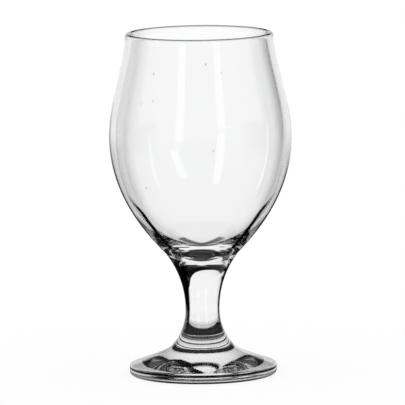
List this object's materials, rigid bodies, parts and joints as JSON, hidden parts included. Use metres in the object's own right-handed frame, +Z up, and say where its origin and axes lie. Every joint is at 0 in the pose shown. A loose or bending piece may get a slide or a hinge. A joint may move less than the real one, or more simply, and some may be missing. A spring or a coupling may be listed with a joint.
{
  "type": "stemmed beer glass",
  "caption": "Clear stemmed beer glass with an egg-shaped bowl, a short solid stem and a round beaded foot.",
  "frame": {"origin": "centre of the foot's bearing ring, on the table", "axes": "+Z up along the axis of the turned glass; X and Y are any two level directions"},
  "size_m": [0.086, 0.086, 0.162],
  "materials": {
    "clear_glass": "clear soda-lime glass, fire-polished"
  },
  "bodies": {
    "root": {"bowl": "clear_glass", "stem": "clear_glass", "foot": "clear_glass"}
  },
  "joints": []
}
